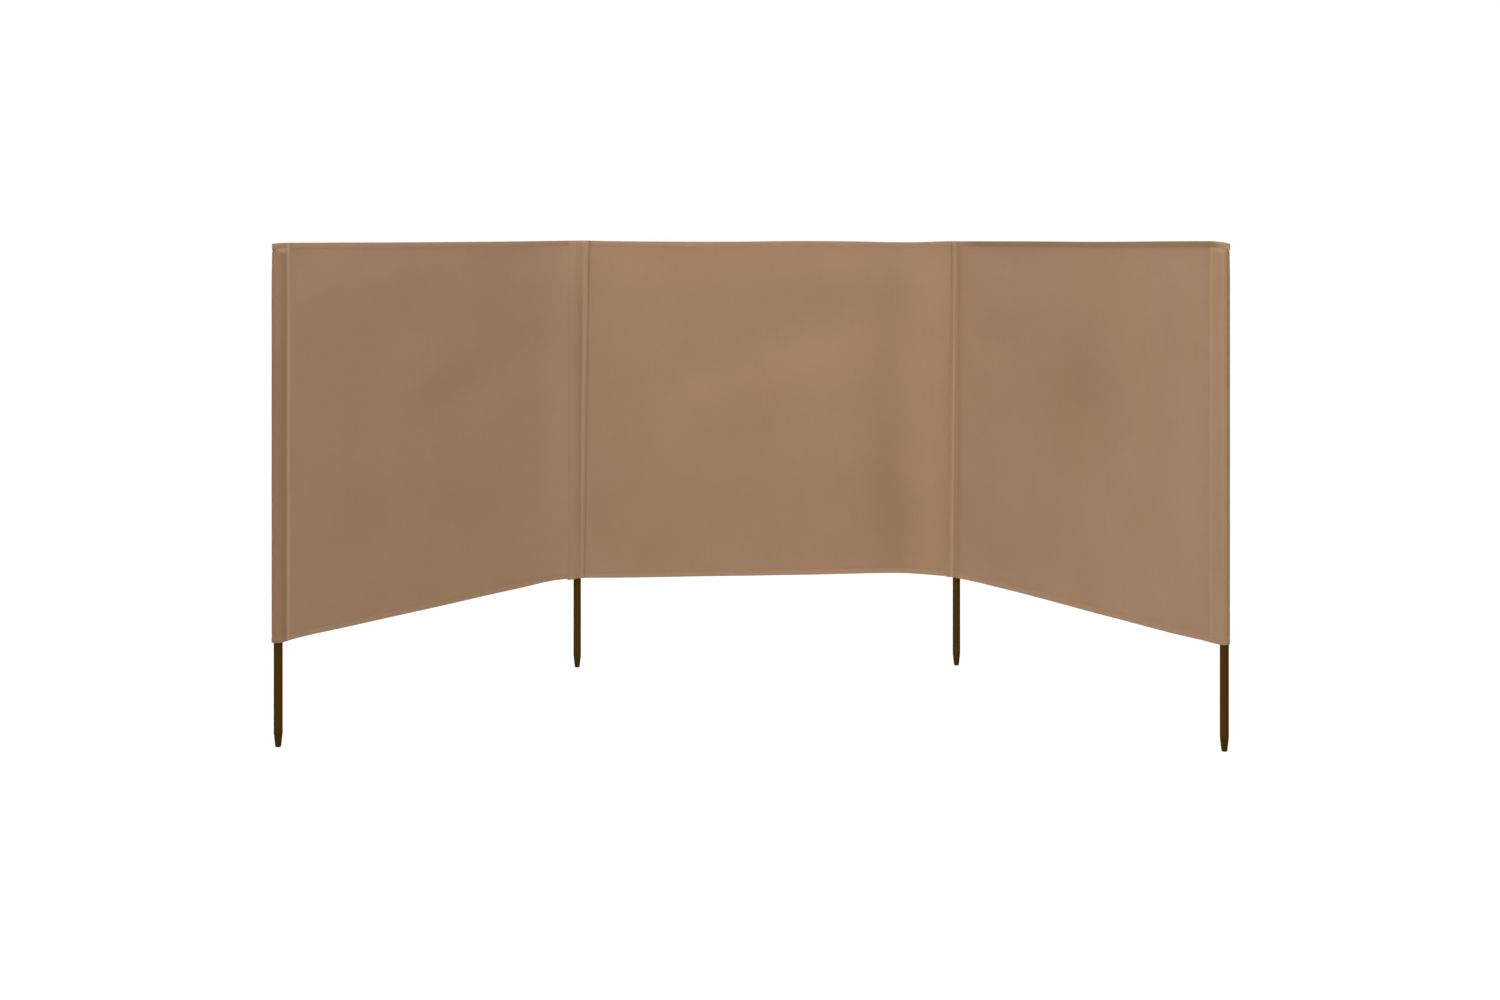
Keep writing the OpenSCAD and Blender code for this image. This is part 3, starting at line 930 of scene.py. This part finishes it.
def seen_plainly(tree):
    """1 for the rays that show what is there, and 0 for those that light the object."""
    path = tree.nodes.new("ShaderNodeLightPath").outputs
    either = path["Is Camera Ray"]
    for ray in ("Is Glossy Ray", "Is Transmission Ray"):
        most = tree.nodes.new("ShaderNodeMath")
        most.operation = "MAXIMUM"
        tree.links.new(either, most.inputs[0])
        tree.links.new(path[ray], most.inputs[1])
        either = most.outputs[0]
    return either


def floor():
    """A pale floor that takes the object's shadow and shows white."""
    n = Nodes("pale_floor")
    matt = n.add("BsdfDiffuse", Color=srgb(225, 225, 225)).outputs[0]
    shaded = n.add("BsdfDiffuse", Color=srgb(105, 105, 105)).outputs[0]
    near = n.add("AddShader", i0=n.add("Emission", Strength=0.88).outputs[0], i1=shaded).outputs[0]
    place = n.add("TexCoord").outputs["Object"]
    span = n.add("VectorMath", {"operation": "LENGTH"}, i0=place).outputs["Value"]
    away = n.add("MapRange", {"interpolation_type": "SMOOTHSTEP"}, Value=span,
                 From_Min=2.2, From_Max=5.0).outputs[0]
    seen = n.add("MixShader", i0=away, i1=near, i2=n.add("Emission", Strength=1.0).outputs[0]).outputs[0]
    material = n.show(n.add("MixShader", i0=seen_plainly(n.tree), i1=matt, i2=seen).outputs[0])
    half = 30.0
    mesh = bpy.data.meshes.new("floor")
    corners = [(-half, -half, 0), (half, -half, 0), (half, half, 0), (-half, half, 0)]
    mesh.from_pydata(corners, [], [(0, 1, 2, 3)])
    mesh.materials.append(material)
    made = bpy.data.objects.new("floor", mesh)
    bpy.context.scene.collection.objects.link(made)


def white_world(light):
    """An even white surround: this light on the object, and plain white where it is seen."""
    world = bpy.data.worlds.new("white_surround")
    world.use_nodes = True
    tree = world.node_tree
    tree.nodes.clear()
    lit, seen = tree.nodes.new("ShaderNodeBackground"), tree.nodes.new("ShaderNodeBackground")
    lit.inputs["Strength"].default_value = light
    for node in (lit, seen):
        node.inputs["Color"].default_value = (1.0, 1.0, 1.0, 1.0)
    mix, output = tree.nodes.new("ShaderNodeMixShader"), tree.nodes.new("ShaderNodeOutputWorld")
    tree.links.new(seen_plainly(tree), mix.inputs[0])
    tree.links.new(lit.outputs[0], mix.inputs[1])
    tree.links.new(seen.outputs[0], mix.inputs[2])
    tree.links.new(mix.outputs[0], output.inputs["Surface"])
    bpy.context.scene.world = world


def soft_lamp(name, place, target, size, power):
    """A large square lamp at place, turned to target."""
    lamp = bpy.data.lights.new(name, "AREA")
    lamp.shape, lamp.size, lamp.energy = "SQUARE", size, power
    made = bpy.data.objects.new(name, lamp)
    made.location = place
    x, y, z = np.array(target) - np.array(place)
    made.rotation_euler = (math.atan2(math.hypot(x, y), -z), 0, math.atan2(-x, y))
    bpy.context.scene.collection.objects.link(made)


floor()
white_world(WORLD_LIGHT)
for lamp_name, (lamp_place, lamp_power) in LAMPS.items():
    soft_lamp(lamp_name, lamp_place, LIT, LAMP_SIZE, lamp_power)

camera = bpy.data.cameras.new("camera")
camera.sensor_width, camera.lens, camera.shift_y = 36.0, CAMERA_LENS, CAMERA_SHIFT_Y
viewer = bpy.data.objects.new("camera", camera)
viewer.location = CAMERA_PLACE
viewer.rotation_euler = [math.radians(a) for a in CAMERA_TURN]
bpy.context.scene.collection.objects.link(viewer)
bpy.context.scene.camera = viewer
bpy.context.scene.view_settings.view_transform = "Standard"
